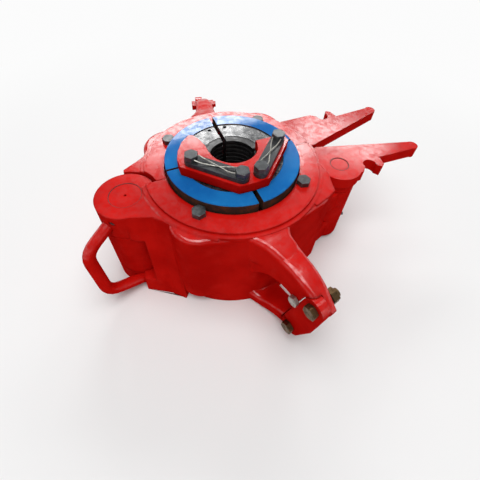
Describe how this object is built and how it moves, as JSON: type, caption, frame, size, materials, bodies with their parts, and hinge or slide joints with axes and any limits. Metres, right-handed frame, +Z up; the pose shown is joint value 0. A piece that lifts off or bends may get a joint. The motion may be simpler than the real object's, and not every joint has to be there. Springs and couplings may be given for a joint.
{
  "type": "drill pipe elevator",
  "caption": "Hinged wedge-type drill pipe elevator: latched cast halves with lifting ears, sprung slips in a tapered bowl, a setting plate and a carry handle.",
  "frame": {"origin": "bore axis at the base face", "axes": "+Z up the bore axis, +X towards the latch, -Y towards the front half"},
  "size_m": [0.7673, 0.6756, 0.3038],
  "materials": {
    "red_paint": "glossy red enamel",
    "blue_paint": "glossy blue enamel",
    "black_slip": "oiled black steel",
    "black_die": "blackened hard steel",
    "black_strap": "satin black steel",
    "black_screw": "blackened steel",
    "zinc_bolt": "olive zinc plate",
    "bright_wire": "bright wire"
  },
  "bodies": {
    "front_half": {"front_body_half": "red_paint", "hinge_pin": "red_paint", "hinge_pin_lock_screw": "black_screw", "carry_handle": "red_paint", "latch_pin": "red_paint", "latch_pin_keeper": "black_screw", "latch_spring": "bright_wire", "front_top_screws": "black_screw", "lift_springs_front_left": "bright_wire", "lift_springs_front_right": "bright_wire", "link_hinge_bolt_front": "zinc_bolt", "link_lock_bolt_front": "zinc_bolt", "ear_bolt_front": "zinc_bolt"},
    "back_half": {"back_body_half": "red_paint", "back_top_screws": "black_screw", "lift_springs_back_left": "bright_wire", "lift_springs_back_right": "bright_wire", "link_hinge_bolt_back": "zinc_bolt", "link_lock_bolt_back": "zinc_bolt", "ear_bolt_back": "zinc_bolt"},
    "latch": {"latch": "red_paint"},
    "setting_plate": {"setting_plate": "red_paint"},
    "link_block_front": {"link_block_front": "red_paint"},
    "link_block_back": {"link_block_back": "red_paint"},
    "slip_front_left": {"slip_flange_front_left": "blue_paint", "slip_wedge_front_left": "black_slip", "slip_die_front_left": "black_die", "strap_left": "black_strap", "strap_bolts_left": "black_screw", "lock_wire_left": "bright_wire"},
    "slip_front_right": {"slip_flange_front_right": "blue_paint", "slip_wedge_front_right": "black_slip", "slip_die_front_right": "black_die", "strap_right": "black_strap", "strap_bolts_right": "black_screw", "lock_wire_right": "bright_wire"},
    "slip_back_left": {"slip_flange_back_left": "blue_paint", "slip_wedge_back_left": "black_slip", "slip_die_back_left": "black_die"},
    "slip_back_right": {"slip_flange_back_right": "blue_paint", "slip_wedge_back_right": "black_slip", "slip_die_back_right": "black_die"}
  },
  "joints": [
    {"name": "body_open", "type": "hinge", "parent": "front_half", "child": "back_half", "pos_m": [-0.222, -0.008, 0], "axis": [0, 0, 1], "range_deg": [0, 30]},
    {"name": "latch_swing", "type": "hinge", "parent": "front_half", "child": "latch", "pos_m": [0.225, -0.072, 0], "axis": [0, 0, 1], "range_deg": [-60, 0]},
    {"name": "slip_set_front_left", "type": "slide", "parent": "front_half", "child": "slip_front_left", "axis": [-0.1162, -0.1162, 0.9864], "range_m": [-0.015, 0], "stiffness_N_per_m": 4000, "springref_m": 0.05, "deforming": ["lift_springs_front_left"]},
    {"name": "slip_set_front_right", "type": "slide", "parent": "front_half", "child": "slip_front_right", "axis": [0.1162, -0.1162, 0.9864], "range_m": [-0.015, 0], "stiffness_N_per_m": 4000, "springref_m": 0.05, "deforming": ["lift_springs_front_right"]},
    {"name": "slip_set_back_left", "type": "slide", "parent": "back_half", "child": "slip_back_left", "axis": [-0.1162, 0.1162, 0.9864], "range_m": [-0.015, 0], "stiffness_N_per_m": 4000, "springref_m": 0.05, "deforming": ["lift_springs_back_left"]},
    {"name": "slip_set_back_right", "type": "slide", "parent": "back_half", "child": "slip_back_right", "axis": [0.1162, 0.1162, 0.9864], "range_m": [-0.015, 0], "stiffness_N_per_m": 4000, "springref_m": 0.05, "deforming": ["lift_springs_back_right"]},
    {"name": "plate_drop", "type": "slide", "parent": "front_half", "child": "setting_plate", "axis": [0, 0, 1], "range_m": [-0.0148, 0]},
    {"name": "link_block_swing_front", "type": "hinge", "parent": "front_half", "child": "link_block_front", "pos_m": [0.03451, -0.31237, 0.179], "axis": [-0.9781, -0.2079, 0], "range_deg": [0, 75]},
    {"name": "link_block_swing_back", "type": "hinge", "parent": "back_half", "child": "link_block_back", "pos_m": [0.03451, 0.31237, 0.179], "axis": [0.9781, -0.2079, 0], "range_deg": [0, 75]}
  ],
  "couplings": [
    {"joint": "latch_swing", "follows": "body_open", "ratio": -2},
    {"joint": "slip_set_front_right", "follows": "slip_set_front_left", "ratio": 1},
    {"joint": "slip_set_back_left", "follows": "slip_set_front_left", "ratio": 1},
    {"joint": "slip_set_back_right", "follows": "slip_set_front_left", "ratio": 1},
    {"joint": "plate_drop", "follows": "slip_set_front_left", "ratio": 0.9864}
  ]
}
